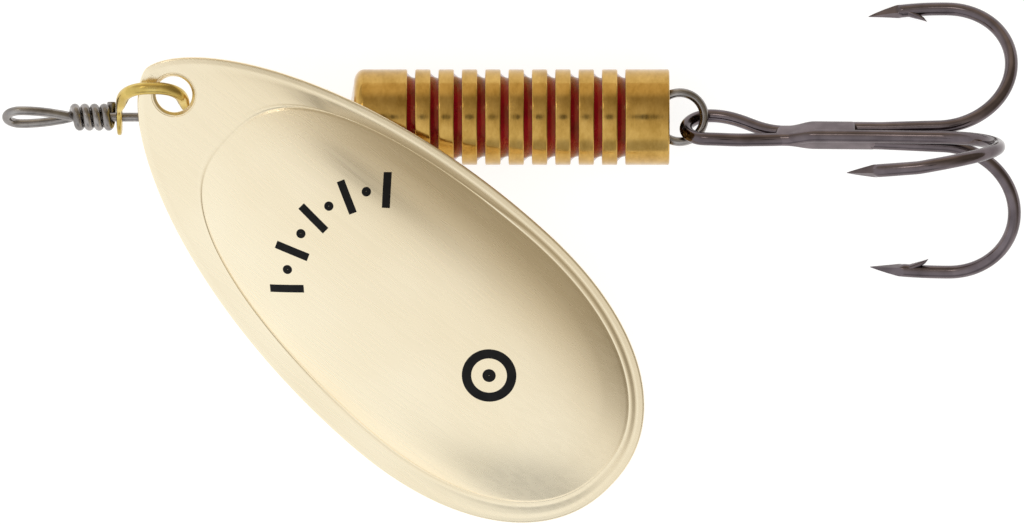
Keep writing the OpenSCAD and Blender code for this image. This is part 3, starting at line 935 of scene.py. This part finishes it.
def braze_web():
    """A smooth web, flush with the shanks, that ends further back on the lower shank."""
    angles = np.linspace(0, 2 * pi, 72, endpoint=False)
    verts, stations = [], (1 - np.cos(np.linspace(0.06, pi - 0.06, 46))) / 2
    for s in stations:
        end = np.clip(min(s, 1 - s) / 0.07, 0, 1)
        full = sqrt(1 - (1 - end) ** 2)
        for a in angles:
            u = away(a)
            x = WEB_START + s * (WEB_END - u[1] - WEB_START)
            swap = ease((x - WEB_SWAP_X) / WEB_SWAP_LEN)
            wires = [shank * swap + in_treble_eye(x, gap) * (0, 1, 1) * (1 - swap)
                     for shank, gap in ((UPPER_SHANK, LIMB_GAP), (LOWER_SHANK, -LIMB_GAP),
                                        (FRONT_SHANK * 0.9, -LIMB_GAP))]
            middle = sum(wires) / 3
            far = max(wires, key=lambda c: c.dot(u))
            verts.append(np.array([x, 0, 0]) + middle + (0.45 + 0.55 * full) * (far - middle)
                         + HOOK_R * (0.3 + 0.73 * full) * u)
    return ringed(verts, len(angles))


TREBLE_AT = np.array(EYE_AT) - TREBLE_TURN @ np.array([0, EYE_ASIDE, 0])
upper_hook = plain_hook(UPPER_START, UPPER_SET, UPPER_SHANK, UPPER, TIP_IN)
lower_hook = plain_hook(LOWER_START, LOWER_SET, LOWER_SHANK, LOWER, LOWER_TIP_IN)
for name, shape, material, slot, node in (
        ("eyed_hook_wire", eyed_hook(), HOOK, "hook_wire", "treble_eyed_hook"),
        ("upper_hook_wire", upper_hook, HOOK, "hook_wire", "treble_upper_hook"),
        ("lower_hook_wire", lower_hook, HOOK, "hook_wire", "treble_lower_hook"),
        ("braze_web", braze_web(), BRAZE, "hook_braze", "treble_braze")):
    add_piece(name, placed(mesh_of(name, shape), TREBLE_TURN, TREBLE_AT), material,
              "treble", node, sharp=50)

# ---- Floor, light and camera -------------------------------------------------------------------


def floor():
    size = 1.6
    mesh = bpy.data.meshes.new("floor")
    mesh.from_pydata([(-size, -size, 0), (size, -size, 0), (size, size, 0), (-size, size, 0)],
                     [], [(0, 1, 2, 3)])
    f = Finish("floor_white", (0.35, 0.35, 0.35), 0.0, 0.9)
    f.shader.inputs["Emission Color"].default_value = (1, 1, 1, 1)
    f.shader.inputs["Emission Strength"].default_value = 0.85
    mesh.materials.append(f.material)
    table = bpy.data.objects.new("floor", mesh)
    bpy.context.scene.collection.objects.link(table)


# Light of the room along the line from the dim upper right (0) to the bright lower left (1)
ROOM = ((0.0, 0.36), (0.21, 0.38), (0.29, 0.45), (0.41, 0.65), (0.5, 0.77), (0.585, 0.9),
        (0.67, 1.0), (0.75, 1.05), (1.0, 1.1))
DIM_TINT, BRIGHT_TINT = (1.0, 0.86, 0.64), (0.97, 1.0, 1.03)
# Round patches of the room: direction, outer and inner radius in degrees, and the share of light
PATCHES = (((0, 0, 1), 8, 4, 0.15),            # the camera
           ((0, -0.97, 0.25), 26, 8, 0.55),    # low in front
           ((0.85, -0.3, 0.45), 34, 10, 0.7),  # on the right
           ((-0.35, 0.45, 0.82), 7, 3, 5),     # a small lamp high up
           ((0, 0.98, 0.2), 34, 6, 2.3))       # a bright strip low behind the lure


def studio():
    world = bpy.data.worlds.new("studio")
    world.use_nodes = True
    nodes, links = world.node_tree.nodes, world.node_tree.links
    toward = nodes.new("ShaderNodeTexCoord").outputs["Generated"]

    def along(direction):
        dot = nodes.new("ShaderNodeVectorMath")
        dot.operation = "DOT_PRODUCT"
        dot.inputs[1].default_value = Vector(direction).normalized()
        links.new(toward, dot.inputs[0])
        return dot.outputs["Value"]

    def eased(value, low, high, at_low, at_high):
        spread = nodes.new("ShaderNodeMapRange")
        spread.interpolation_type = "SMOOTHSTEP"
        for key, number in (("From Min", low), ("From Max", high), ("To Min", at_low),
                            ("To Max", at_high)):
            spread.inputs[key].default_value = number
        links.new(value, spread.inputs["Value"])
        return spread.outputs["Result"]

    span = nodes.new("ShaderNodeMapRange")
    span.inputs["From Min"].default_value = -1
    links.new(along((-1, -1, 0)), span.inputs["Value"])
    ramp = nodes.new("ShaderNodeValToRGB")
    elements = ramp.color_ramp.elements
    while len(elements) < len(ROOM):
        elements.new(0.5)
    dimmest, brightest = ROOM[0][1], ROOM[-1][1]
    for element, (at, bright) in zip(elements, ROOM):
        share = (bright - dimmest) / (brightest - dimmest)
        element.position = at
        element.color = (*(bright * (a + (b - a) * share)
                           for a, b in zip(DIM_TINT, BRIGHT_TINT)), 1)
    links.new(span.outputs["Result"], ramp.inputs["Fac"])
    shades = [eased(along(toward_it), cos(radians(outer)), cos(radians(inner)), 1, bright)
              for toward_it, outer, inner, bright in PATCHES]
    shade = shades[0]
    for other in shades[1:]:
        both = nodes.new("ShaderNodeMath")
        both.operation = "MULTIPLY"
        links.new(shade, both.inputs[0])
        links.new(other, both.inputs[1])
        shade = both.outputs["Value"]
    background = nodes["Background"]
    links.new(ramp.outputs["Color"], background.inputs["Color"])
    links.new(shade, background.inputs["Strength"])
    bpy.context.scene.world = world


def camera():
    data = bpy.data.cameras.new("photo_view")
    data.type, data.lens, data.sensor_width = "PERSP", 600.0, 36.0
    data.clip_start, data.clip_end = 0.05, 20.0
    eye = bpy.data.objects.new("photo_view", data)
    eye.location = (0.00008, 0.00005, 1.536)
    bpy.context.scene.collection.objects.link(eye)
    bpy.context.scene.camera = eye


floor()
studio()
camera()
bpy.context.scene.view_settings.view_transform = "Standard"
